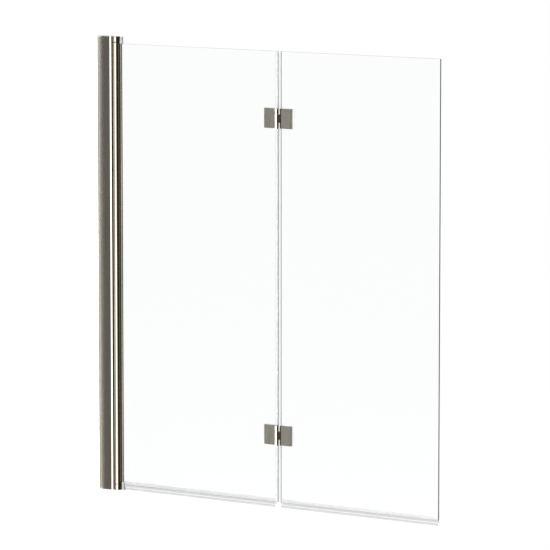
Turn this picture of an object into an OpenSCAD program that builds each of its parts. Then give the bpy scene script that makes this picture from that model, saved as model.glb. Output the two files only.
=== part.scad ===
// Pivot tub door: a wall jamb, a round pivot post, and two glass panels that fold on two hinges.
// X runs out from the wall, Y runs into the bath from the middle of the glass, Z is up from the bath rim.

/* [Overall] */
// Reach from the wall to the free edge of the glass
screen_w = 1220; // [1050:5:1400]
// Height of the wall jamb above the bath rim
screen_h = 1400; // [1250:5:1600]
// Distance from the wall to the middle of the gap between the panels
seam_x = 661.75; // [560:0.25:760]

/* [Glass] */
// Thickness of both glass panels
glass_t = 6; // [5:0.5:8]
// Gap between the two panels
panel_gap = 12; // [11:0.1:13]
// Height of the bottom edge of the glass above the bath rim
glass_z = 18; // [17:0.5:22]
// Drop from the top of the jamb to the top edge of the glass
glass_drop = 22; // [20:0.5:30]

/* [Wall jamb] */
// Depth of the jamb across the glass
jamb_d = 33; // [32:0.5:36]
// Radius of the bow in the jamb's two long faces
bow_r = 200; // [180:5:400]
// Distance from the wall to the centre of the jamb's round nose
nose_x = 49; // [48:0.25:50]
// Radius of the jamb's corners at the wall
corner_r = 12; // [9:0.5:13]
// Wall thickness of the jamb
jamb_t = 1.8; // [1.4:0.1:2.2]
// How far the lips of the nose reach beyond its centre
nose_reach = 7.5; // [6:0.5:8]
// Thickness of the jamb's end caps
cap_t = 3; // [2:0.5:4]

/* [Wall channel] */
// Width of the wall channel
channel_w = 22; // [20:0.5:22]
// Depth of the wall channel, out from the wall
channel_x = 28; // [26:0.5:30]
// Wall thickness of the channel
channel_t = 2; // [1.5:0.25:2.5]
// Radius of the wall holes
wall_hole_r = 2.75; // [2:0.25:4]
// Distance from each end of the jamb to the outer wall holes
wall_hole_end = 60; // [50:5:120]
// Distance from the outer wall holes to the inner ones
wall_hole_pitch = 420; // [300:10:450]

/* [Pivot post] */
// Distance from the wall to the pivot axis
post_x = 65.25; // [65:0.25:67]
// Diameter of the post
post_d = 25.5; // [24.5:0.25:26]
// Wall thickness of the post
post_t = 1.8; // [1.4:0.1:2.2]
// Width of the neck between the post and the glazing grip
neck_w = 4; // [3:0.5:5]
// Distance from the pivot axis to where the glazing grip has its full width
grip_x = 19.1; // [18.5:0.1:20]
// Distance from the pivot axis to the open end of the glazing grip
grip_reach = 21.9; // [21.5:0.1:26]
// Depth of the slot in the glazing grip
grip_deep = 3; // [2:0.25:3]
// Wall thickness of the grip beside the slot
grip_t = 1.2; // [1.2:0.1:2.5]
// Length of the bevel on the grip's open edges, along the glass
lip_bevel_l = 0.8; // [0.5:0.1:1]
// Depth of the bevel on the grip's open edges
lip_bevel_d = 0.3; // [0.2:0.05:0.5]
// Thickness of the gasket between the grip and the glass
glazing_t = 0.3; // [0.3:0.1:0.6]
// Distance from the top of the jamb to the top of the glazing grip
grip_drop = 21.5; // [20:0.25:22]
// Height of the bottom of the glazing grip
grip_z = 25; // [24:0.5:40]
// How far the end blocks reach beyond the grip
block_out = 2.7; // [0.5:0.1:4]
// Gap between the end blocks and the ends of the jamb
block_z = 1; // [0.5:0.1:3]

/* [Pivots] */
// Height of the top hub
top_hub_h = 16.5; // [16:0.5:18]
// Height of the bottom hub
foot_hub_h = 17.5; // [16:0.5:18]
// Diameter of the pivot pins
pivot_d = 8; // [6:0.5:10]
// Length of a pivot pin inside its hub
pivot_len = 12; // [10:0.5:13]
// Wall thickness of the nylon bushes
bush_t = 2; // [1.5:0.25:2.5]
// Thickness of the bush flange that carries the post
bush_flange_t = 0.9; // [0.8:0.1:1.2]
// Length of a post plug inside the post
plug_len = 25; // [20:1:40]
// Thickness of the top plug's flange on the end of the post
top_flange_t = 2; // [1:0.25:3]
// Thickness of the bottom plug's flange, which the post rests on
foot_flange_t = 0.5; // [0.5:0.1:1]
// How far the plugs' flanges stand in from the face of the post
plug_inset = 1; // [0.5:0.1:1.2]
// Width of the bracket's arm
arm_w = 14; // [12:0.5:16]
// Height of the bracket's arm
arm_h = 10; // [8:0.5:12]

/* [Hinges] */
// Height of a hinge
hinge_h = 60; // [50:0.5:70]
// Distance from the bottom of the glass to the middle of the lower hinge
hinge_foot = 205.5; // [150:0.5:300]
// Distance from the top of the glass to the middle of the upper hinge
hinge_head = 199.5; // [150:0.5:300]
// Distance from the middle of the glass to the hinge axis, towards the room
hinge_y = 18.4; // [17.5:0.1:20]
// Radius of the hinge barrel
barrel_r = 5.8; // [5.2:0.1:6.3]
// Radius of the hinge pin
hinge_pin_r = 3; // [2:0.25:3.5]
// Height of each end knuckle
knuckle_h = 17; // [14:0.5:18]
// Length of the inner plate, along the glass
inner_plate_l = 38.4; // [34:0.2:44]
// Distance from the hinge axis to the inner plate
inner_plate_gap = 10.25; // [9.5:0.25:12]
// Length of the outer plate, along the glass
outer_plate_l = 34.7; // [30:0.1:44]
// Distance from the hinge axis to the outer plate
outer_plate_gap = 13; // [12.5:0.1:15]
// Distance from the hinge axis to the shoulder that fills the outer plate's height beside the barrel
shoulder_gap = 9.5; // [9:0.25:11]
// Thickness of the front plates
front_plate_t = 8; // [7:0.25:8]
// Thickness of the back plates
back_plate_t = 5; // [4:0.25:8]
// How far the back plates stand in from the edges of the front plates
back_inset = 7; // [3:0.5:7]
// Thickness of the gaskets on the glass
gasket_t = 1; // [0.75:0.05:1]
// Bevel on the plates' outer edges
plate_bevel = 0.8; // [0.4:0.1:1.5]
// Distance from a back plate's ends to its screws
hinge_screw_edge = 5.75; // [5.5:0.25:8]

/* [Seals] */
// Wall thickness of the clear seals
seal_t = 1; // [0.8:0.1:1.2]
// Height that the drip seals grip on the glass
drip_grip = 11; // [8:0.5:14]
// Radius of the tube along the bottom of the drip seals
drip_tube_r = 3; // [2.5:0.25:3.5]
// Height of the drip seals' lowest line above the bath rim
drip_z = 2.6; // [2:0.2:4]
// Width that the seam seal grips on the glass
seam_grip = 9.5; // [8:0.5:11]

/* [Screws] */
// Radius of the jamb and bracket screws
jamb_screw_r = 2; // [1.5:0.25:2.5]
// Radius of the hinge screws
hinge_screw_r = 2.5; // [2:0.25:3]
// Distance from each end of the jamb to the outer jamb screws
jamb_screw_end = 150; // [100:10:300]

/* [Clearances] */
// Radial gap between a pin and its bore
pin_gap = 0.05; // [0.03:0.01:0.08]
// Gap between pieces that are pushed or screwed together
fit_gap = 0.1; // [0.05:0.01:0.15]
// Gap between a soft seal and what it brushes
soft_gap = 0.4; // [0.3:0.05:0.6]
// Gap between the hinge arms and the seam seal
arm_gap = 2; // [1.5:0.25:3]
// Gap between the jamb and the channel that it slides on
slide_gap = 0.3; // [0.2:0.05:0.4]
// Gap between the post and the jamb's concave nose
groove_gap = 0.8; // [0.6:0.1:1]

/* [Hidden] */
$fn = 64;
cut = 1; // overshoot of a cutting tool

// Jamb section
half_d = jamb_d / 2;
bow_x = nose_x / 2; // middle of the bowed faces
nose_r = bow_r - sqrt(pow(nose_x - bow_x, 2) + pow(bow_r - half_d, 2));
corner_y = sqrt(pow(bow_r - corner_r, 2) - pow(bow_x - corner_r, 2)) - (bow_r - half_d);
groove_r = post_d / 2 + groove_gap;
web_x = post_x - groove_r - jamb_t; // inner face of the jamb's end web
mouth_w = channel_w + 2 * slide_gap; // opening of the jamb towards the wall
arc_lap = 0.03; // lap of two arcs, so that they cross where they would only touch
rib_x = channel_x - 6; // guide ribs that ride on the channel's flanges

// T slot of the wiper seal
wiper_neck_w = 2.4;
wiper_neck_l = 1.2;
wiper_head_w = 5;
wiper_head_l = 2;

// Lug of the jamb caps
lug_l = channel_x - channel_t - 4;
lug_h = 8;

// Bracket inside the jamb
block_w = 24;
block_l = 15;
block_x = web_x - 1 - block_l;
bracket_screw_x = block_x + block_l / 2;
bracket_screw_z = cap_t + fit_gap + arm_h / 2;

// Side screws of the jamb and their covers, as pairs of X and Z
jamb_screw_x = rib_x - 8;
jamb_screw_zs = [jamb_screw_end, screen_h / 2, screen_h - jamb_screw_end];
bracket_screw_zs = [bracket_screw_z, screen_h - bracket_screw_z];
side_screws = concat([for (z = jamb_screw_zs) [jamb_screw_x, z]],
    [for (z = bracket_screw_zs) [bracket_screw_x, z]]);
pan_r = 2 * jamb_screw_r;
pan_h = 1.1 * jamb_screw_r;
cover_t = 0.8;
cover_r = pan_r + fit_gap + cover_t;
seat_deep = 0.6; // spot face under a screw cover
function seat_y(x) = half_d - pow(x - bow_x, 2) / (2 * bow_r) - seat_deep;

wall_hole_zs = [for (z = [wall_hole_end, wall_hole_end + wall_hole_pitch]) each [z, screen_h - z]];

// Post, plugs and pins
bush_r = pivot_d / 2 + pin_gap + bush_t;
hub_gap = bush_flange_t + fit_gap; // room for the bush flange between hub and plug
post_z0 = foot_hub_h + hub_gap + foot_flange_t;
post_z1 = screen_h - top_hub_h - hub_gap - top_flange_t;
pin_hold = plug_len - 5; // length of a pin inside its plug
slot_x = grip_reach - grip_deep; // bottom of the glazing slot, from the pivot axis
slot_y = glass_t / 2 + glazing_t;
grip_w = 2 * (slot_y + grip_t);
glass_x = slot_x + glazing_t; // edge of the glass, from the pivot axis
end_block_x = glass_x - fit_gap - 1; // hub side of the end blocks
end_block_reach = grip_reach + block_out;

// Glass
glass_h = screen_h - glass_drop - glass_z;
inner_x0 = post_x + glass_x;
inner_x1 = seam_x - panel_gap / 2;
outer_x0 = seam_x + panel_gap / 2;

// Hinges, in a frame with the hinge axis at X and Y 0 and the middle of the hinge at Z 0
hinge_x = seam_x; // the pins stand in front of the gap
hinge_zs = [glass_z + hinge_foot, screen_h - glass_drop - hinge_head];
plate_y = glass_t / 2 + gasket_t; // outer faces of the gaskets
front_y = hinge_y - plate_y; // inner face of the front plates
back_y = hinge_y + plate_y; // inner face of the back plates
arm_y = front_y - arm_gap; // back of the arms between plate and barrel
arm_x = barrel_r - 0.5; // where an arm leaves the barrel, just inside its round
inner_x = -inner_plate_gap - inner_plate_l; // far ends of the two plates
outer_x = outer_plate_gap + outer_plate_l;
washer_t = 0.5;
washer_room = washer_t + fit_gap;
end_knuckles = [[-hinge_h / 2, knuckle_h - hinge_h / 2], [hinge_h / 2 - knuckle_h, hinge_h / 2]];
middle_knuckle = [[knuckle_h + washer_room - hinge_h / 2, hinge_h / 2 - knuckle_h - washer_room]];
inner_plate = [inner_x, -inner_plate_gap];
outer_plate = [outer_plate_gap, outer_x];
hinge_screw_z = hinge_h / 2 - back_inset - hinge_screw_edge;
hinge_screw_zs = [-hinge_screw_z, hinge_screw_z];
cap_r = 1.8 * hinge_screw_r; // head of a hinge screw
cap_h = 1.1 * hinge_screw_r;
thread_deep = 5.5; // depth of the hinge screws' holes in the front plates
collar_t = 1.5; // gasket collar round a screw, inside the glass
collar_r = hinge_screw_r + fit_gap + collar_t;
glass_hole_r = collar_r + fit_gap;

// Seals
bulb_neck = 1.2;
bulb_r = (panel_gap - seal_t - soft_gap - bulb_neck) / 2;
drip_end = 1;
fin_l = 9; // fin of a drip seal

nickel = [0.45, 0.43, 0.39];
dark_nickel = [0.3, 0.28, 0.25];
mill = [0.75, 0.76, 0.77];
steel = [0.7, 0.71, 0.73];
clear_glass = [0.85, 0.93, 0.92, 0.3];
clear_pvc = [0.88, 0.9, 0.9, 0.6];
grey_nylon = [0.76, 0.77, 0.77];
black_nylon = [0.16, 0.16, 0.16];
black_rubber = [0.12, 0.12, 0.12];

// Draws its children upside down at the top of the jamb
module at_top() {
    translate([0, 0, screen_h]) mirror([0, 0, 1]) children();
}

// Outline of the jamb: two bowed faces, round corners at the wall and a round nose, all drawn in by inset
module jamb_outline(inset = 0) {
    x0 = bow_x - (bow_x - corner_r) * (bow_r - inset) / (bow_r - corner_r);
    x1 = bow_x + (nose_x - bow_x) * (bow_r - inset) / (bow_r - nose_r);
    intersection() {
        translate([bow_x, bow_r - half_d]) circle(bow_r - inset, $fn = 720);
        translate([bow_x, half_d - bow_r]) circle(bow_r - inset, $fn = 720);
        translate([inset, -half_d]) square([nose_x + jamb_d, jamb_d]);
        union() {
            translate([x0, -half_d]) square([x1 - x0, jamb_d]);
            translate([nose_x, 0]) circle(nose_r - inset + arc_lap);
            for (side = [-1, 1])
                translate([corner_r, side * corner_y]) circle(corner_r - inset + arc_lap);
            translate([0, -corner_y]) square([x0, 2 * corner_y]);
        }
    }
}

// What the post and its groove take out of the nose
module nose_cut() {
    translate([post_x, 0]) circle(groove_r);
    translate([nose_x + nose_reach, -half_d]) square([nose_r, jamb_d]);
}

// T shape of the wiper seal's root; grow widens it all round for the slot
module wiper_root(grow = 0) {
    neck_x = post_x - groove_r - wiper_neck_l;
    translate([neck_x - cut, -wiper_neck_w / 2 - grow])
        square([wiper_neck_l + 2 * cut, wiper_neck_w + 2 * grow]);
    translate([neck_x - wiper_head_l - grow, -wiper_head_w / 2 - grow])
        square([wiper_head_l + grow, wiper_head_w + 2 * grow]);
}

// Cross section of the jamb, open towards the wall
module jamb_section() {
    boss_x = post_x - groove_r - wiper_neck_l - wiper_head_l - jamb_t;
    boss_w = wiper_head_w + 2 * jamb_t;
    difference() {
        union() {
            difference() {
                jamb_outline();
                intersection() {
                    jamb_outline(jamb_t);
                    translate([0, -half_d]) square([web_x, jamb_d]);
                }
            }
            translate([boss_x, -boss_w / 2]) square([web_x - boss_x + cut, boss_w]);
            for (side = [-1, 1])
                translate([rib_x, side > 0 ? mouth_w / 2 : jamb_t / 2 - half_d])
                    square([jamb_t, half_d - jamb_t / 2 - mouth_w / 2]);
        }
        translate([-cut, -mouth_w / 2]) square([corner_r + cut, mouth_w]);
        nose_cut();
        wiper_root(fit_gap);
    }
}

// Round hole along Y, from depth y0 to y1
module cross_hole(x, z, r, y0, y1) {
    translate([x, y1, z]) rotate([90, 0, 0]) cylinder(h = y1 - y0, r = r);
}

module jamb() {
    color(nickel) difference() {
        translate([0, 0, cap_t]) linear_extrude(screen_h - 2 * cap_t) jamb_section();
        arm_notch();
        at_top() arm_notch();
        for (s = side_screws) {
            cross_hole(s[0], s[1], jamb_screw_r + fit_gap, 0, half_d + cut);
            cross_hole(s[0], s[1], cover_r + fit_gap, seat_y(s[0]), half_d + cut);
        }
    }
}

// Slot through the end of the jamb's web, for the bracket's arm
module arm_notch() {
    translate([web_x - jamb_t - 4, -arm_w / 2 - slide_gap, 0])
        cube([post_x, arm_w + 2 * slide_gap, cap_t + arm_h + slide_gap]);
}

module wall_channel() {
    inner_w = channel_w - 2 * channel_t;
    length = screen_h - 2 * cap_t;
    color(mill) difference() {
        translate([0, -channel_w / 2, cap_t]) cube([channel_x, channel_w, length]);
        translate([channel_t, -inner_w / 2, cap_t - cut]) cube([channel_x, inner_w, length + 2 * cut]);
        for (z = wall_hole_zs)
            translate([-cut, 0, z]) rotate([0, 90, 0]) cylinder(h = channel_t + 2 * cut, r = wall_hole_r);
        for (z = jamb_screw_zs)
            cross_hole(jamb_screw_x, z, jamb_screw_r + fit_gap, 0, channel_w);
    }
}

// End cap of the jamb, with a lug that plugs into the wall channel
module jamb_cap() {
    lug_w = channel_w - 2 * (channel_t + slide_gap);
    color(nickel) {
        linear_extrude(cap_t) difference() {
            jamb_outline();
            nose_cut();
        }
        translate([channel_t + slide_gap, -lug_w / 2, 0]) difference() {
            cube([lug_l, lug_w, cap_t + lug_h]);
            translate([cap_t, cap_t, cap_t]) cube([lug_l - 2 * cap_t, lug_w - 2 * cap_t, lug_h + cut]);
        }
    }
}

module jamb_top_cap() { at_top() jamb_cap(); }
module jamb_bottom_cap() { jamb_cap(); }

// Hub on an arm that is screwed inside the end of the jamb; drawn for the bottom end
module pivot_bracket(hub_h) {
    color(dark_nickel) difference() {
        union() {
            translate([post_x, 0, 0]) cylinder(h = hub_h, d = post_d);
            translate([block_x, -arm_w / 2, cap_t + fit_gap]) cube([post_x - block_x, arm_w, arm_h]);
            translate([block_x, -block_w / 2, cap_t + fit_gap]) cube([block_l, block_w, arm_h]);
        }
        translate([post_x, 0, hub_h - pivot_len - 1]) cylinder(h = pivot_len + 1 + cut, r = bush_r + fit_gap);
        cross_hole(bracket_screw_x, bracket_screw_z, jamb_screw_r + fit_gap, 0, half_d);
    }
}

module top_pivot_bracket() { at_top() pivot_bracket(top_hub_h); }
module bottom_pivot_bracket() { pivot_bracket(foot_hub_h); }

// Pan head screw along Y whose head sits on the jamb's bath side
module pan_screw(x, z, tip_y) {
    seat = seat_y(x);
    color(steel) difference() {
        union() {
            cross_hole(x, z, jamb_screw_r, tip_y, seat + fit_gap);
            cross_hole(x, z, pan_r, seat, seat + pan_h);
        }
        cross_hole(x, z, jamb_screw_r * 0.6, seat + pan_h / 2, seat + pan_h + cut);
    }
}

module bracket_screws() {
    for (z = bracket_screw_zs) pan_screw(bracket_screw_x, z, 2);
}

module jamb_screws() {
    for (z = jamb_screw_zs) pan_screw(jamb_screw_x, z, channel_w / 2 - channel_t - 1);
}

// Snap covers over the heads of the side screws
module jamb_screw_covers() {
    for (s = side_screws)
        color(nickel) difference() {
            cross_hole(s[0], s[1], cover_r, seat_y(s[0]), seat_y(s[0]) + pan_h + cover_t + fit_gap);
            cross_hole(s[0], s[1], pan_r + fit_gap, seat_y(s[0]) - cut, seat_y(s[0]) + pan_h + fit_gap);
        }
}

// Flanged nylon bush in a hub; drawn for the bottom end
module pivot_bush(hub_h) {
    color(black_nylon) translate([post_x, 0, 0]) difference() {
        union() {
            translate([0, 0, hub_h - pivot_len]) cylinder(h = pivot_len + bush_flange_t, r = bush_r);
            translate([0, 0, hub_h]) cylinder(h = bush_flange_t, r = bush_r + 4);
        }
        translate([0, 0, hub_h - pivot_len - cut])
            cylinder(h = pivot_len + bush_flange_t + 2 * cut, r = pivot_d / 2 + pin_gap);
    }
}

module top_bush() { at_top() pivot_bush(top_hub_h); }
module bottom_bush() { pivot_bush(foot_hub_h); }

module jamb_wiper_seal() {
    z0 = cap_t + arm_h + 2;
    color(clear_pvc) translate([0, 0, z0]) linear_extrude(screen_h - 2 * z0) difference() {
        wiper_root();
        translate([post_x, 0]) circle(post_d / 2 + soft_gap);
    }
}

// Outline of the glazing grip: it widens from the neck at x0 and ends at x1 with bevelled edges
module grip_outline(x0, x1) {
    half = [[x0, neck_w / 2], [grip_x, grip_w / 2], [x1 - lip_bevel_l, grip_w / 2],
        [x1, grip_w / 2 - lip_bevel_d]];
    polygon(concat(half, [for (i = [len(half) - 1:-1:0]) [half[i][0], -half[i][1]]]));
}

module pivot_post() {
    color(dark_nickel) translate([post_x, 0, 0]) difference() {
        union() {
            translate([0, 0, post_z0]) cylinder(h = post_z1 - post_z0, d = post_d);
            translate([0, 0, grip_z]) linear_extrude(screen_h - grip_drop - grip_z) {
                translate([0, -neck_w / 2]) square([post_d / 2 + fit_gap, neck_w]);
                grip_outline(post_d / 2, grip_reach);
            }
        }
        translate([0, 0, post_z0 - cut])
            cylinder(h = post_z1 - post_z0 + 2 * cut, r = post_d / 2 - post_t);
        translate([slot_x, -slot_y, grip_z - cut]) cube([grip_reach, 2 * slot_y, screen_h]);
    }
}

// Flanged plug in the end of the post; drawn for the bottom end
module post_plug(hub_h, flange_t) {
    color(black_nylon) translate([post_x, 0, hub_h + hub_gap]) difference() {
        union() {
            cylinder(h = flange_t, r = post_d / 2 - plug_inset);
            cylinder(h = flange_t + plug_len, r = post_d / 2 - post_t - fit_gap);
        }
        translate([0, 0, -cut]) cylinder(h = flange_t + pin_hold + 2 * cut, r = pivot_d / 2 + pin_gap);
    }
}

module top_post_plug() { at_top() post_plug(top_hub_h, top_flange_t); }
module bottom_post_plug() { post_plug(foot_hub_h, foot_flange_t); }

// Block that sits on the corner of the glass and closes the glazing grip; drawn for the bottom end
module end_block(grip_end, glass_end) {
    color(grey_nylon) translate([post_x, 0, 0]) difference() {
        translate([0, 0, block_z])
            linear_extrude(grip_end - block_z) grip_outline(end_block_x, end_block_reach);
        translate([glass_x - fit_gap, -glass_t / 2 - fit_gap, glass_end - fit_gap])
            cube([grip_reach, glass_t + 2 * fit_gap, grip_end]);
    }
}

module top_end_block() { at_top() end_block(grip_drop, glass_drop); }
module bottom_end_block() { end_block(grip_z, glass_z); }

// Steel pin from a hub into the post's plug; drawn for the bottom end
module pivot_pin(hub_h, flange_t) {
    z0 = hub_h - pivot_len + 1;
    color(steel) translate([post_x, 0, z0])
        cylinder(h = pivot_len - 1 + hub_gap + flange_t + pin_hold, d = pivot_d);
}

module top_pivot_pin() { at_top() pivot_pin(top_hub_h, top_flange_t); }
module bottom_pivot_pin() { pivot_pin(foot_hub_h, foot_flange_t); }

module glazing_gasket() {
    color(black_rubber) translate([post_x, 0, grip_z])
        linear_extrude(screen_h - grip_drop - grip_z) difference() {
            translate([slot_x, -slot_y]) square([grip_deep, 2 * slot_y]);
            translate([glass_x, -glass_t / 2]) square([grip_reach, glass_t]);
        }
}

// Glass panel from x0 to x1, drilled for the hinge plates whose middle is at drill_x
module glass_panel(x0, x1, drill_x) {
    color(clear_glass) difference() {
        translate([x0, -glass_t / 2, glass_z]) cube([x1 - x0, glass_t, glass_h]);
        for (z = hinge_zs, dz = hinge_screw_zs)
            cross_hole(drill_x, z + dz, glass_hole_r, -glass_t, glass_t);
    }
}

module inner_glass() { glass_panel(inner_x0, inner_x1, hinge_x - inner_plate_gap - inner_plate_l / 2); }
module outer_glass() { glass_panel(outer_x0, screen_w, hinge_x + outer_plate_gap + outer_plate_l / 2); }

// Clip on the edge of the inner glass, with a hollow bulb that closes the gap between the panels
module seam_section() {
    outer_w = glass_t + 2 * seal_t;
    bulb_x = outer_x0 - soft_gap - bulb_r;
    difference() {
        union() {
            translate([inner_x1 - seam_grip, -outer_w / 2]) square([seam_grip + seal_t, outer_w]);
            translate([inner_x1, -seal_t]) square([bulb_x - inner_x1, 2 * seal_t]);
            translate([bulb_x, 0]) circle(bulb_r);
        }
        translate([inner_x1 - seam_grip - cut, -glass_t / 2]) square([seam_grip + cut, glass_t]);
        translate([bulb_x, 0]) circle(bulb_r - seal_t);
    }
}

// Seam seal over the height of the glass, with the clip cut back beside the hinge plates
module seam_seal() {
    notch_x = hinge_x - inner_plate_gap + soft_gap;
    notch_h = hinge_h + 2 * soft_gap;
    color(clear_pvc) difference() {
        translate([0, 0, glass_z]) linear_extrude(glass_h) seam_section();
        for (z = hinge_zs)
            translate([notch_x - seam_grip, -glass_t, z - notch_h / 2])
                cube([seam_grip, 2 * glass_t, notch_h]);
    }
}

// Cross section of a drip seal: a clip, a front wall down to a tube, and a fin that sheds water into the bath
module drip_section() {
    outer_w = glass_t + 2 * seal_t;
    tube_y = drip_tube_r - outer_w / 2;
    tube_z = drip_z + drip_tube_r;
    difference() {
        union() {
            translate([-outer_w / 2, glass_z - seal_t]) square([outer_w, drip_grip + seal_t]);
            translate([-outer_w / 2, tube_z]) square([seal_t, glass_z - tube_z]);
            translate([tube_y, tube_z]) circle(drip_tube_r);
            translate([outer_w / 2 - seal_t, glass_z - seal_t]) rotate(-60) square([fin_l, seal_t]);
        }
        translate([-glass_t / 2, glass_z]) square([glass_t, drip_grip + cut]);
        translate([tube_y, tube_z]) circle(drip_tube_r - seal_t);
    }
}

module drip_seal(x0, x1) {
    color(clear_pvc) translate([x0, 0, 0]) rotate([90, 0, 90]) linear_extrude(x1 - x0) drip_section();
}

module inner_drip_seal() {
    drip_seal(post_x + end_block_reach + soft_gap, inner_x1 - seam_grip - soft_gap);
}
module outer_drip_seal() { drip_seal(outer_x0 + drip_end, screen_w - drip_end); }

// Runs its children at the hinge of the given number, 0 for the lower one and 1 for the upper one
module at_hinge(number) {
    translate([hinge_x, -hinge_y, hinge_zs[number]]) children();
}

// Rectangle with its far corners cut off, as the outline of a plate seen edge on
module bevelled_edge(length, thick) {
    b = plate_bevel;
    polygon([[0, 0], [length, 0], [length, b - thick], [length - b, -thick], [b, -thick], [0, b - thick]]);
}

// Hinge plate whose flat side is at Y 0 and whose bevelled side faces -Y
module bevelled_plate(length, height, thick) {
    intersection() {
        translate([0, 0, -height / 2]) linear_extrude(height) bevelled_edge(length, thick);
        translate([0, 0, height / 2]) rotate([0, 90, 0])
            linear_extrude(length) bevelled_edge(height, thick);
    }
}

// Arm between the barrel and a front plate, sloping down to the plate's edge at arm_to
module arm_outline(arm_to) {
    side = sign(arm_to);
    arm_top = front_y - front_plate_t + plate_bevel;
    polygon([[0, 0], [side * arm_x, 0], [arm_to, arm_top], [arm_to + side, arm_top],
        [arm_to + side, arm_y], [0, arm_y]]);
}

// Knuckle of a front plate: an eye round the pin and its arm
module knuckle(arm_to, height) {
    linear_extrude(height) {
        circle(barrel_r);
        arm_outline(arm_to);
    }
}

// The arm's slope carried over the whole height of the outer plate, clear of the end knuckles
module shoulder() {
    translate([0, 0, -hinge_h / 2]) linear_extrude(hinge_h) intersection() {
        arm_outline(outer_plate_gap);
        translate([shoulder_gap, 0]) square([outer_plate_gap, 2 * arm_y]);
    }
}

// Front plate with its knuckles; the plate runs from x0 to x1 and arm_to is its edge beside the barrel
module front_plate(x0, x1, arm_to, knuckles) {
    color(nickel) difference() {
        union() {
            translate([x0, front_y, 0]) bevelled_plate(x1 - x0, hinge_h, front_plate_t);
            for (k = knuckles) translate([0, 0, k[0]]) knuckle(arm_to, k[1] - k[0]);
            if (arm_to > 0) shoulder();
        }
        translate([0, 0, -hinge_h]) cylinder(h = 2 * hinge_h, r = hinge_pin_r + pin_gap);
        for (z = hinge_screw_zs)
            cross_hole((x0 + x1) / 2, z, hinge_screw_r + fit_gap, front_y - thread_deep, front_y + cut);
    }
}

// Back plate on the bath side, with counterbores for the screw heads
module back_plate(x0, x1) {
    color(nickel) difference() {
        translate([x0 + back_inset, back_y, 0]) mirror([0, 1, 0])
            bevelled_plate(x1 - x0 - 2 * back_inset, hinge_h - 2 * back_inset, back_plate_t);
        for (z = hinge_screw_zs) {
            cross_hole((x0 + x1) / 2, z, hinge_screw_r + fit_gap, back_y - cut, back_y + back_plate_t);
            cross_hole((x0 + x1) / 2, z, cap_r + fit_gap, back_y + back_plate_t - cap_h,
                back_y + back_plate_t + cut);
        }
    }
}

// Gasket between the glass and a plate, standing in from the edges of the front plate
module gasket_sheet(x0, x1, y, inset) {
    translate([x0 + inset, y, inset - hinge_h / 2])
        cube([x1 - x0 - 2 * inset, gasket_t, hinge_h - 2 * inset]);
}

// Gaskets on both faces of the glass; the front one has a collar round each screw
module gasket_pair(x0, x1) {
    edge = 0.5;
    color(black_rubber) difference() {
        union() {
            gasket_sheet(x0, x1, front_y, edge);
            gasket_sheet(x0, x1, back_y - gasket_t, back_inset + edge);
            for (z = hinge_screw_zs)
                cross_hole((x0 + x1) / 2, z, collar_r, front_y, back_y - gasket_t - fit_gap);
        }
        for (z = hinge_screw_zs)
            cross_hole((x0 + x1) / 2, z, hinge_screw_r + fit_gap, front_y - cut, back_y + cut);
    }
}

// Socket head screws from the back plate into the front plate
module hinge_screws(x0, x1) {
    head_y = back_y + back_plate_t - cap_h;
    color(steel) for (z = hinge_screw_zs)
        difference() {
            union() {
                cross_hole((x0 + x1) / 2, z, hinge_screw_r, front_y - thread_deep + 0.5, head_y);
                cross_hole((x0 + x1) / 2, z, cap_r, head_y, head_y + cap_h - fit_gap);
            }
            translate([(x0 + x1) / 2, head_y + cap_h, z]) rotate([90, 0, 0])
                cylinder(h = cap_h / 2, r = hinge_screw_r / 2, $fn = 6);
        }
}

module hinge_pin() {
    color(steel) translate([0, 0, 1 - hinge_h / 2]) cylinder(h = hinge_h - 2, r = hinge_pin_r);
}

// Nylon washers between the middle knuckle and the end knuckles
module hinge_washers() {
    color(grey_nylon) for (z = [knuckle_h - hinge_h / 2, hinge_h / 2 - knuckle_h - washer_room])
        translate([0, 0, z + fit_gap / 2]) difference() {
            cylinder(h = washer_t, r = barrel_r - 0.5);
            translate([0, 0, -cut]) cylinder(h = washer_t + 2 * cut, r = hinge_pin_r + pin_gap);
        }
}

module hinge_inner_plate(n) at_hinge(n)
    front_plate(inner_plate[0], inner_plate[1], inner_plate[1], end_knuckles);
module hinge_inner_back(n) at_hinge(n) back_plate(inner_plate[0], inner_plate[1]);
module hinge_inner_gaskets(n) at_hinge(n) gasket_pair(inner_plate[0], inner_plate[1]);
module hinge_inner_screws(n) at_hinge(n) hinge_screws(inner_plate[0], inner_plate[1]);
module hinge_outer_plate(n) at_hinge(n)
    front_plate(outer_plate[0], outer_plate[1], outer_plate[0], middle_knuckle);
module hinge_outer_back(n) at_hinge(n) back_plate(outer_plate[0], outer_plate[1]);
module hinge_outer_gaskets(n) at_hinge(n) gasket_pair(outer_plate[0], outer_plate[1]);
module hinge_outer_screws(n) at_hinge(n) hinge_screws(outer_plate[0], outer_plate[1]);

wall_channel();
jamb();
jamb_top_cap();
jamb_bottom_cap();
top_pivot_bracket();
bottom_pivot_bracket();
bracket_screws();
jamb_screws();
jamb_screw_covers();
top_bush();
bottom_bush();
jamb_wiper_seal();
pivot_post();
top_post_plug();
bottom_post_plug();
top_end_block();
bottom_end_block();
top_pivot_pin();
bottom_pivot_pin();
glazing_gasket();
inner_glass();
seam_seal();
inner_drip_seal();
hinge_inner_plate(1);  // upper_hinge_inner_plate
hinge_inner_back(1);  // upper_hinge_inner_back
hinge_inner_gaskets(1);  // upper_hinge_inner_gaskets
hinge_inner_screws(1);  // upper_hinge_inner_screws
at_hinge(1) hinge_pin();  // upper_hinge_pin
at_hinge(1) hinge_washers();  // upper_hinge_washers
hinge_outer_plate(1);  // upper_hinge_outer_plate
hinge_outer_back(1);  // upper_hinge_outer_back
hinge_outer_gaskets(1);  // upper_hinge_outer_gaskets
hinge_outer_screws(1);  // upper_hinge_outer_screws
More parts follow.
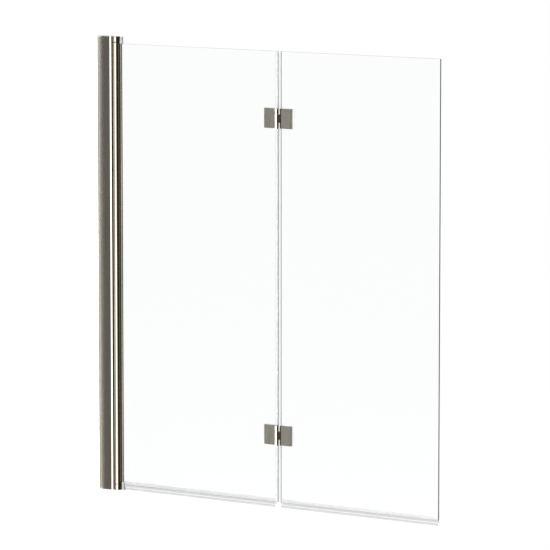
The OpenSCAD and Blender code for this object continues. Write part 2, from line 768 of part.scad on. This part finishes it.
hinge_inner_plate(0);  // lower_hinge_inner_plate
hinge_inner_back(0);  // lower_hinge_inner_back
hinge_inner_gaskets(0);  // lower_hinge_inner_gaskets
hinge_inner_screws(0);  // lower_hinge_inner_screws
at_hinge(0) hinge_pin();  // lower_hinge_pin
at_hinge(0) hinge_washers();  // lower_hinge_washers
hinge_outer_plate(0);  // lower_hinge_outer_plate
hinge_outer_back(0);  // lower_hinge_outer_back
hinge_outer_gaskets(0);  // lower_hinge_outer_gaskets
hinge_outer_screws(0);  // lower_hinge_outer_screws
outer_glass();
outer_drip_seal();
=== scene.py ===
# %% [markdown]
# # Pivot tub door
#
# A bath screen in nickel and clear glass. A jamb stands on the wall, a round post turns in two hubs beside
# it, and two glass panels fold on two hinges. The shapes come from the CAD model, so the work here is on
# finishes: brushed and polished nickel, clear glass with ground edges, clear vinyl seals and small plastic
# parts. One piece is modelled new, the domed covers over the side screws of the jamb.

# %% Load the CAD model
import math

import bmesh
import bpy
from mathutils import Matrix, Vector


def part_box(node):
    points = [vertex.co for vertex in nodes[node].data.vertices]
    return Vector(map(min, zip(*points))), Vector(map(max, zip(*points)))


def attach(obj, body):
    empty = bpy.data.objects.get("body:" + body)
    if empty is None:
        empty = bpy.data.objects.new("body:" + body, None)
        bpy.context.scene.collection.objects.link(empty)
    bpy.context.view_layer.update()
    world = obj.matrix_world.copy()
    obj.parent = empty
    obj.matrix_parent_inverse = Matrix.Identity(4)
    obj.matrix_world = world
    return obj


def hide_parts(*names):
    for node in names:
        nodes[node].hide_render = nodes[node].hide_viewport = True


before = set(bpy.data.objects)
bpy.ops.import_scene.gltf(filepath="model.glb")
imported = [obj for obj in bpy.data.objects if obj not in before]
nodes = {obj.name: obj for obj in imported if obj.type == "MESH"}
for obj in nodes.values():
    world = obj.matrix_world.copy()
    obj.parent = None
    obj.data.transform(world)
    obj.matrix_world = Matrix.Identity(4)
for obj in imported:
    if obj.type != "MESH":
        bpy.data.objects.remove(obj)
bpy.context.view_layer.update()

# %% [markdown]
# ## Camera
#
# The photo was taken from the right and a little above, with a long lens: upright edges stay upright and the
# far end of the screen is hardly smaller than the near end. Angles, distance and lens were worked out from
# the corners of the jamb, glass and hinge plates, whose real places are known from the CAD model. A camera
# could also be placed by eye, but a long lens hides an error of a degree that these corners show.

# %% Camera
CAMERA_AZIMUTH = 33.21  # degrees to the right of straight in front
CAMERA_ELEVATION = 7.15
CAMERA_DISTANCE = 12.98
CAMERA_REACH = 100
FOCAL_PIXELS = 4334.9
FRAME_PIXELS = 550
SENSOR_WIDTH = 36  # mm
TARGET = Vector((0.6448, 0, 0.7065))


def towards(azimuth, elevation=0):
    """Direction from the object to a compass angle in degrees, 0 being straight in front."""
    turn, lift = math.radians(azimuth), math.radians(elevation)
    return Vector((math.sin(turn) * math.cos(lift), -math.cos(turn) * math.cos(lift), math.sin(lift)))


back = towards(CAMERA_AZIMUTH, CAMERA_ELEVATION)
bpy.ops.object.camera_add(location=TARGET + CAMERA_DISTANCE * back,
                          rotation=back.to_track_quat("Z", "Y").to_euler())
camera = bpy.context.object
camera.name = "camera"
camera.data.sensor_width = SENSOR_WIDTH
camera.data.lens = FOCAL_PIXELS * SENSOR_WIDTH / FRAME_PIXELS
camera.data.clip_end = CAMERA_REACH
bpy.context.scene.camera = camera
print("lens", round(camera.data.lens, 1), "mm")

# %% [markdown]
# ## Colours and node trees
#
# Colours are written as hex values, as a paint card or picture gives them, and one function turns them into
# the linear values that a shader wants. A second function adds a shader node with its settings and its
# links, which keeps each material short enough to read as a recipe. Nodes could be placed by hand in the
# shader editor, but a recipe can be read and changed line by line.

# %% Helpers for materials
def colour(hex_value):
    """Linear RGBA of an sRGB hex colour."""
    parts = [int(hex_value[i:i + 2], 16) / 255 for i in (1, 3, 5)]
    return [p / 12.92 if p <= 0.04045 else ((p + 0.055) / 1.055) ** 2.4 for p in parts] + [1]


def add(tree, kind, settings=None, links=None):
    """Adds a node. Settings go to its properties or sockets, links feed its sockets, by name or number."""
    node = tree.nodes.new("ShaderNode" + kind)
    for name, value in (settings or {}).items():
        if isinstance(name, str) and hasattr(node, name):
            setattr(node, name, value)
        else:
            node.inputs[name].default_value = value
    for name, source in (links or {}).items():
        tree.links.new(source, node.inputs[name])
    return node


def material(name):
    """An empty material and its node tree."""
    made = bpy.data.materials.new(name)
    made.use_nodes = True
    made.node_tree.nodes.clear()
    return made, made.node_tree


def dress(finish, *names):
    """Gives CAD nodes a material."""
    for name in names:
        for slot in nodes[name].material_slots:
            slot.material = finish
    print(finish.name, "on", len(names), "nodes")


print("hex #808080 is", round(colour("#808080")[0], 3), "in linear light")

# %% [markdown]
# ## Brushed nickel
#
# The jamb is an aluminium extrusion with a brushed nickel finish. An abrasive belt runs along it from end to
# end, so the lines lie upright and the gloss is drawn out across them. The eye sees a dark warm grey with a
# soft light band on each round edge. Real belt lines are 0.1 mm apart, too fine to show at this distance, so
# they are drawn about 1.2 mm apart. A picture of brushed metal could be wrapped round instead, but noise
# that is stretched along the height has no seam and no edge.
#
# The post is the same metal, polished after brushing, so it is smoother and mirrors the dark room beside the
# lamps. Its tones are also set darker than the jamb's, as painted shade for those dark reflections. The
# hinges are cast and brushed by hand in short strokes, and come out lighter and softer.

# %% Brushed metal
STREAK_STOPS = (0.3, 0.7)  # noise values that show the pure dark and the pure light tone
GLOSS_SPREAD = 0.04  # how far the roughness strays to both sides


def brushed(name, hex_dark, hex_light, roughness, spacing, length):
    """Metal brushed along Z, with streaks of the given spacing and length in metres."""
    made, tree = material(name)
    place = add(tree, "TexCoord")
    stretch = add(tree, "Mapping", {"Scale": (1 / spacing, 1 / spacing, 1 / length)},
                  {"Vector": place.outputs["Object"]})
    lines = add(tree, "TexNoise", {"Scale": 1.0, "Detail": 3.0, "Roughness": 0.6},
                {"Vector": stretch.outputs["Vector"]})
    tint = add(tree, "ValToRGB", links={"Fac": lines.outputs["Fac"]})
    for stop, at, tone in zip(tint.color_ramp.elements, STREAK_STOPS, (hex_dark, hex_light)):
        stop.position, stop.color = at, colour(tone)
    gloss = add(tree, "MapRange", {"To Min": roughness - GLOSS_SPREAD, "To Max": roughness + GLOSS_SPREAD},
                {"Value": lines.outputs["Fac"]})
    grain = add(tree, "Bump", {"Strength": 0.08, "Distance": 0.0001}, {"Height": lines.outputs["Fac"]})
    metal = add(tree, "BsdfPrincipled", {"Metallic": 1.0},
                {"Base Color": tint.outputs["Color"], "Roughness": gloss.outputs["Result"],
                 "Normal": grain.outputs["Normal"]})
    add(tree, "OutputMaterial", links={"Surface": metal.outputs["BSDF"]})
    return made


# %% Nickel
jamb_nickel = brushed("jamb brushed nickel", "#65615a", "#6f6b63",
                      roughness=0.15, spacing=0.0012, length=0.25)
dress(jamb_nickel, "jamb", "jamb_top_cap", "jamb_bottom_cap", "jamb_screw_covers")
# Darker tones than the jamb's: painted shade for the dark reflections on the post; the lower roughness is
# the real polish.
post_nickel_painted_shade = brushed("post polished nickel, darkened as painted shade", "#55524a", "#5f5c54",
                      roughness=0.1, spacing=0.0012, length=0.25)
dress(post_nickel_painted_shade, "pivot_post", "top_pivot_bracket", "bottom_pivot_bracket")
hinge_nickel = brushed("hinge brushed nickel", "#87837a", "#938f84",
                       roughness=0.17, spacing=0.002, length=0.06)
dress(hinge_nickel, *[n for n in nodes if n.endswith(("_plate", "_back"))])

# %% [markdown]
# ## Screws, pins and the wall channel
#
# The screws and pins are turned stainless steel, which keeps fine rings from the tool and a bright, even
# gloss. The wall channel stays hidden in the jamb, so it is left as the extruder delivers it: pale aluminium
# with faint upright die lines and a duller gloss. True rings could be drawn round each screw's own axis, but
# they are too fine to show here. Both are brushed metals too, so the same recipe serves, with short grain on
# the steel and long grain on the channel.

# %% Steel and aluminium
screw_steel = brushed("turned stainless steel", "#a7a8a9", "#c0c1c2",
                      roughness=0.25, spacing=0.0008, length=0.0008)
dress(screw_steel, *[n for n in nodes if n.endswith(("_screws", "_pin"))])
channel_aluminium = brushed("mill finish aluminium", "#b5b7b8", "#cdcfd0",
                            roughness=0.38, spacing=0.0015, length=0.4)
dress(channel_aluminium, "wall_channel")

# %% [markdown]
# ## Glass
#
# The panels are 6 mm toughened float glass. Float glass is flat and smooth as water, so nearly all that the
# eye gets is what lies behind it and a faint mirror of the room. The body bends light as real glass does.
# Shadow rays go straight through a clear layer instead, because a shader that bends light would otherwise
# cast the dark shadow of a solid wall.
#
# The four cut edges are ground, which leaves them grey and matt. They show as the thin grey lines along the
# top of the panels and down both sides of the gap. They could be pieces of their own, but the solid of the
# panel already ends there. So each edge is found by its place in the panel, with a Compare node that asks
# whether a point lies within a twentieth of a millimetre of it.

# %% Ground edges
EDGE_REACH = 0.00005


def ground_edges(tree, place, panel, upright):
    """Socket that is 1 on a panel's level edges and the given strength on its upright ones."""
    low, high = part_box(panel)
    across = add(tree, "SeparateXYZ", links={"Vector": place})
    edges = (("X", low[0], upright), ("X", high[0], upright), ("Z", low[2], 1), ("Z", high[2], 1))
    found = None
    for axis, at, strength in edges:
        here = add(tree, "Math", {"operation": "COMPARE", 1: at, 2: EDGE_REACH}, {0: across.outputs[axis]})
        near = add(tree, "Math", {"operation": "MULTIPLY", 1: strength}, {0: here.outputs[0]})
        if found:
            near = add(tree, "Math", {"operation": "MAXIMUM"}, {0: found.outputs[0], 1: near.outputs[0]})
        found = near
    return found.outputs[0]


print("edges found to", EDGE_REACH * 1000, "mm")

# %% Clear glass
GLASS_CLOUDS = 30.0  # clouds in a metre; a guess, only to keep the gloss from being dead even
GLASS_IOR = 1.5


def panel_glass(name, panel, hex_tint, hex_edge, upright, roughness, hex_shade):
    """Clear glass that lets light through to what lies behind it, with matt grey ground edges."""
    made, tree = material(name)
    place = add(tree, "TexCoord")
    clouds = add(tree, "TexNoise", {"Scale": GLASS_CLOUDS, "Detail": 2.0},
                 {"Vector": place.outputs["Object"]})
    gloss = add(tree, "MapRange", {"To Min": roughness * 0.8, "To Max": roughness * 1.2},
                {"Value": clouds.outputs["Fac"]})
    body = add(tree, "BsdfPrincipled",
               {"Base Color": colour(hex_tint), "IOR": GLASS_IOR, "Transmission Weight": 1.0},
               {"Roughness": gloss.outputs["Result"]})
    ground = add(tree, "BsdfPrincipled",
                 {"Base Color": colour(hex_edge), "IOR": GLASS_IOR, "Roughness": 0.6})
    edge = ground_edges(tree, place.outputs["Object"], panel, upright)
    whole = add(tree, "MixShader", links={0: edge, 1: body.outputs["BSDF"], 2: ground.outputs["BSDF"]})
    light = add(tree, "LightPath")
    clear = add(tree, "BsdfTransparent", {"Color": colour(hex_shade)})
    lit = add(tree, "MixShader", links={0: light.outputs["Is Shadow Ray"], 1: whole.outputs["Shader"],
                                        2: clear.outputs["BSDF"]})
    add(tree, "OutputMaterial", links={"Surface": lit.outputs["Shader"]})
    return made


# The seal sits on the inner panel's edge and wets it, so hardly any of the ground grey shows there.
for panel, upright in (("inner_glass", 0.08), ("outer_glass", 1)):
    glass = panel_glass("clear float glass, " + panel.replace("_glass", " panel"), panel, "#fdfefe",
                        "#5c6360", upright, roughness=0.002, hex_shade="#f4f8f6")
    dress(glass, panel)

# %% [markdown]
# ## Clear vinyl
#
# The seals are extruded soft vinyl. Against a white room it reads as a pale grey veil, and darker where the
# eye looks along a wall of it, as at the sides of the bulb in the seam. A full glass shader would bend
# light in each thin wall and turn noisy, so a partly clear body with a soft gloss stands for it. Layer
# Weight makes the body denser where it is seen edge on.

# %% Clear vinyl
VINYL_CLOUDS = 120.0  # clouds in a metre, about 8 mm each, a guess at the haze of extruded vinyl


def milky(name, hex_low, hex_high, alpha, edge_alpha, roughness):
    """A soft clear plastic that shows as a pale veil over what lies behind it, denser seen edge on."""
    made, tree = material(name)
    place = add(tree, "TexCoord")
    clouds = add(tree, "TexNoise", {"Scale": VINYL_CLOUDS, "Detail": 2.0},
                 {"Vector": place.outputs["Object"]})
    tint = add(tree, "ValToRGB", links={"Fac": clouds.outputs["Fac"]})
    for stop, tone in zip(tint.color_ramp.elements, (hex_low, hex_high)):
        stop.color = colour(tone)
    facing = add(tree, "LayerWeight", {"Blend": 0.5})
    veil = add(tree, "MapRange", {"To Min": alpha, "To Max": edge_alpha},
               {"Value": facing.outputs["Facing"]})
    body = add(tree, "BsdfPrincipled", {"Roughness": roughness, "IOR": 1.53},
               {"Base Color": tint.outputs["Color"], "Alpha": veil.outputs["Result"]})
    add(tree, "OutputMaterial", links={"Surface": body.outputs["BSDF"]})
    return made


seam_vinyl = milky("clear soft vinyl of the seam", "#b4b5b6", "#c1c2c3",
                   alpha=0.05, edge_alpha=0.17, roughness=0.25)
dress(seam_vinyl, "seam_seal", "jamb_wiper_seal")
drip_vinyl = milky("clear soft vinyl of the drips", "#b4b6b7", "#c2c3c4",
                   alpha=0.12, edge_alpha=0.3, roughness=0.25)
dress(drip_vinyl, "inner_drip_seal", "outer_drip_seal")

# %% [markdown]
# ## Plastic and rubber
#
# The end blocks and washers are moulded nylon, which comes from the mould with a fine even grain and a dull
# gloss. Bushes and plugs are the same plastic in black. The gaskets are black rubber, softer still to the
# eye. One flat colour would do for pieces this small, but they would look printed. Noise at the size of the
# grain gives each its slight mottling and relief; the real grain of about 0.3 mm is drawn at 1.5 mm, because
# it is too fine to show here.

# %% Nylon and rubber
GRAIN_STOPS = (0.35, 0.65)  # noise values that show the pure dark and the pure light tone
MOULD_GRAIN = 0.0015


def moulded(name, hex_low, hex_high, roughness):
    """A moulded plastic or rubber with a fine even grain."""
    made, tree = material(name)
    place = add(tree, "TexCoord")
    grain = add(tree, "TexNoise", {"Scale": 1 / MOULD_GRAIN, "Detail": 4.0},
                {"Vector": place.outputs["Object"]})
    tint = add(tree, "ValToRGB", links={"Fac": grain.outputs["Fac"]})
    for stop, at, tone in zip(tint.color_ramp.elements, GRAIN_STOPS, (hex_low, hex_high)):
        stop.position, stop.color = at, colour(tone)
    relief = add(tree, "Bump", {"Strength": 0.2, "Distance": 0.0001}, {"Height": grain.outputs["Fac"]})
    body = add(tree, "BsdfPrincipled", {"Roughness": roughness, "IOR": 1.5},
               {"Base Color": tint.outputs["Color"], "Normal": relief.outputs["Normal"]})
    add(tree, "OutputMaterial", links={"Surface": body.outputs["BSDF"]})
    return made


grey_nylon = moulded("moulded grey nylon", "#b0b0ae", "#bcbcba", roughness=0.45)
dress(grey_nylon, "top_end_block", "bottom_end_block", "upper_hinge_washers", "lower_hinge_washers")
black_nylon = moulded("moulded black nylon", "#1b1b1b", "#262626", roughness=0.45)
dress(black_nylon, "top_bush", "bottom_bush", "top_post_plug", "bottom_post_plug")
black_rubber = moulded("black rubber", "#161615", "#232321", roughness=0.7)
dress(black_rubber, "glazing_gasket", *[n for n in nodes if n.endswith("_gaskets")])

# %% [markdown]
# ## Snap covers
#
# The side screws of the jamb hide under pressed caps, like the caps on furniture screws: a thin shell with a
# short straight wall and a low dome. The CAD model has them as flat cups, which is right for fit but not for
# looks. One is modelled here from a tube with a closed end: the closed end is inset and raised in steps
# until it is a dome, the open end is left open, and Solidify gives the sheet its thickness. It could be spun
# from a profile too, but the rings of an inset are easier to count. The other four are copies.

# %% Places of the covers
NEXT_COVER = 0.02  # a gap in height that is longer than this starts the next cover


def cover_places():
    """Low and high corner of each CAD cover, read from its own corners."""
    corners = sorted((v.co for v in nodes["jamb_screw_covers"].data.vertices), key=lambda c: c.z)
    groups = [[corners[0]]]
    for corner in corners[1:]:
        if corner.z - groups[-1][-1].z > NEXT_COVER:
            groups.append([])
        groups[-1].append(corner)
    for group in groups:
        sides = list(zip(*group))
        yield Vector([min(side) for side in sides]), Vector([max(side) for side in sides])


places = list(cover_places())
low, high = places[0]
print(len(places), "covers, each", [round(v, 5) for v in high - low])

# %% Tube with a closed end
DOME_STEPS = ((0.97, 0.0003), (0.86, 0.0004), (0.66, 0.0003), (0.35, 0.0002))  # share of radius, rise
COVER_SIDES = 48

radius = (high[0] - low[0]) / 2
wall = high[1] - low[1] - sum(rise for share, rise in DOME_STEPS)
middle = ((low[0] + high[0]) / 2, low[1] + wall / 2, (low[2] + high[2]) / 2)
bpy.ops.object.select_all(action="DESELECT")
bpy.ops.mesh.primitive_cylinder_add(vertices=COVER_SIDES, radius=radius, depth=wall, end_fill_type="NGON",
                                    location=middle, rotation=(-math.pi / 2, 0, 0))
cover = bpy.context.object
bpy.ops.object.transform_apply(location=True, rotation=True, scale=True)
print("wall", round(wall * 1000, 2), "mm")

# %% Dome it
END_NORMAL = 0.9  # a face that looks along Y by more than this share is an end of the tube


def select_end(side):
    """Selects the end of the tube that looks along Y, to 1 or to -1."""
    shell = bmesh.from_edit_mesh(cover.data)
    for face in shell.faces:
        face.select = face.normal.y * side > END_NORMAL
    bmesh.update_edit_mesh(cover.data)


bpy.ops.object.mode_set(mode="EDIT")
bpy.ops.mesh.select_mode(type="FACE")
select_end(-1)
bpy.ops.mesh.delete(type="FACE")
select_end(1)
reached = 1.0
for share, rise in DOME_STEPS:
    bpy.ops.mesh.inset(thickness=radius * (reached - share), depth=0)
    bpy.ops.transform.translate(value=(0, rise, 0))
    reached = share
bpy.ops.object.mode_set(mode="OBJECT")
print("dome in", len(DOME_STEPS), "steps,", len(cover.data.polygons), "faces")

# %% Sheet thickness
COVER_WALL = 0.0007
SMOOTH_ANGLE = math.radians(40)

sheet = cover.modifiers.new("sheet", "SOLIDIFY")
sheet.thickness = COVER_WALL
sheet.offset = -1
bpy.ops.object.modifier_apply(modifier=sheet.name)
bpy.ops.object.shade_smooth_by_angle(angle=SMOOTH_ANGLE)
print("one cover:", len(cover.data.polygons), "faces")

# %% Copy and join the covers
for other, _ in places[1:]:
    twin = cover.copy()
    twin.data = cover.data.copy()
    bpy.context.collection.objects.link(twin)
    twin.location = other - low
    twin.select_set(True)
cover.select_set(True)
bpy.context.view_layer.objects.active = cover
bpy.ops.object.transform_apply(location=True, rotation=True, scale=True)
bpy.ops.object.join()
domes = bpy.context.object
domes.name = "domed_screw_covers"
domes.data.materials.clear()
domes.data.materials.append(jamb_nickel)
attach(domes, "jamb_body")
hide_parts("jamb_screw_covers")
print("covers:", len(domes.data.polygons), "faces")

# %% [markdown]
# ## Floor and background
#
# The photo has a white room with no corner in it. A wide pale floor runs far past the frame, and both it and
# the world are plain white to the eye, and in glass and metal too, through Light Path. White could be made
# with stronger lamps, but they would wash out the object, so the object gets its own, plain light.

# %% Floor
FLOOR_SIZE = 300
FLOOR_TOP = -0.0004  # just below the foot of the jamb, so the two faces don't fight
FLOOR_GLOW = 1.03
GLOW_SHARE = 0.92  # the rest stays pale and catches the object's shadow
WHITE = (1, 1, 1, 1)


def white_room(tree):
    """Socket that is 1 for what the camera sees, also in a mirror or through glass."""
    light = add(tree, "LightPath")
    seen = light.outputs["Is Camera Ray"]
    for ray in ("Is Transmission Ray", "Is Glossy Ray"):
        seen = add(tree, "Math", {"operation": "MAXIMUM"}, {0: seen, 1: light.outputs[ray]}).outputs[0]
    return seen


bpy.ops.object.select_all(action="DESELECT")
bpy.ops.mesh.primitive_plane_add(size=FLOOR_SIZE, location=(0.6, 0, FLOOR_TOP))
floor = bpy.context.object
floor.name = "floor"
floor.visible_glossy = floor.visible_shadow = False
made, tree = material("pale floor")
pale = add(tree, "BsdfDiffuse", {"Color": colour("#f4f4f2")})
glow = add(tree, "Emission", {"Color": WHITE, "Strength": FLOOR_GLOW})
bright = add(tree, "MixShader", {0: GLOW_SHARE}, {1: pale.outputs["BSDF"], 2: glow.outputs["Emission"]})
shown = add(tree, "MixShader", links={0: white_room(tree), 1: pale.outputs["BSDF"],
                                      2: bright.outputs["Shader"]})
add(tree, "OutputMaterial", links={"Surface": shown.outputs["Shader"]})
floor.data.materials.append(made)
print("floor", FLOOR_SIZE, "m wide")

# %% World
SKY_LIGHT = 0.75  # what the object gets; the camera sees 1

world = bpy.data.worlds.new("studio")
bpy.context.scene.world = world
world.use_nodes = True
tree = world.node_tree
tree.nodes.clear()
soft = add(tree, "Background", {"Color": WHITE, "Strength": SKY_LIGHT})
white = add(tree, "Background", {"Color": WHITE, "Strength": 1.0})
shown = add(tree, "MixShader", links={0: white_room(tree), 1: soft.outputs["Background"],
                                      2: white.outputs["Background"]})
add(tree, "OutputWorld", links={"Surface": shown.outputs["Shader"]})
print("sky light", SKY_LIGHT)

# %% [markdown]
# ## Lamps and cards
#
# Shiny metal shows the studio, not its own colour. A picture of a room could light it, but plain shapes are
# easier to place. So the lamps and cards stand where the round edges in the photo mirror them: a bright
# strip in front, a large soft panel far to the left, three cards between the two, and a dark side on the
# right. The strip and the panel light only reflections. The white left card looks idle beside a white room,
# but without it the left line of the seam turns darker.

# %% Lamps
LAMP_AIM = Vector((0.5, 0, 0.7))


def soft_box(name, azimuth, elevation, distance, width, height, radiance, only_gloss):
    """A flat lamp that faces the object from a compass angle."""
    away = towards(azimuth, elevation)
    bpy.ops.object.light_add(type="AREA", location=LAMP_AIM + distance * away,
                             rotation=away.to_track_quat("Z", "Y").to_euler())
    lamp = bpy.context.object
    lamp.name = name
    lamp.data.shape = "RECTANGLE"
    lamp.data.size, lamp.data.size_y = width, height
    lamp.data.energy = radiance * math.pi * width * height
    lamp.visible_camera = lamp.visible_transmission = False
    lamp.visible_diffuse = not only_gloss
    print(name, round(lamp.data.energy), "W")


soft_box("front strip", azimuth=5.5, elevation=-7, distance=4, width=3.85, height=6, radiance=10.5,
         only_gloss=True)
soft_box("left panel", azimuth=-111.5, elevation=-7, distance=4, width=4, height=6, radiance=7,
         only_gloss=True)
soft_box("overhead", azimuth=20, elevation=60, distance=5, width=4, height=4, radiance=1.6,
         only_gloss=False)

# %% Cards
CARD_AIM = Vector((0.5, 0, 0.9))
CARD_DISTANCE = 5
CARD_HEIGHT = 9


def flag(name, azimuth, width, level):
    """A card that only reflections see, as a photographer puts beside shiny metal."""
    away = towards(azimuth)
    bpy.ops.object.select_all(action="DESELECT")
    bpy.ops.mesh.primitive_plane_add(size=1, location=CARD_AIM + CARD_DISTANCE * away,
                                     rotation=away.to_track_quat("Z", "Y").to_euler())
    card = bpy.context.object
    card.name = name
    card.scale = (width, CARD_HEIGHT, 1)
    card.visible_camera = card.visible_diffuse = card.visible_transmission = card.visible_shadow = False
    made, tree = material(name)
    grey = add(tree, "Emission", {"Color": WHITE, "Strength": level})
    add(tree, "OutputMaterial", links={"Surface": grey.outputs["Emission"]})
    card.data.materials.append(made)
    print(name, "at", azimuth, "degrees, level", level)


flag("left card", azimuth=-69, width=2.9, level=1.0)
flag("left bright card", azimuth=-48.8, width=0.9, level=8.5)
flag("left front card", azimuth=-33, width=2.1, level=0.6)
flag("right card", azimuth=85, width=10, level=0.15)
flag("right back card", azimuth=152, width=4.2, level=0.1)

# %% [markdown]
# ## View
#
# The Standard view shows colours as they are written. A filmic view would be kinder to the bright bands on
# the metal, but it turns the white room grey.

# %% Plain view
bpy.context.scene.view_settings.view_transform = "Standard"
print("view", bpy.context.scene.view_settings.view_transform)
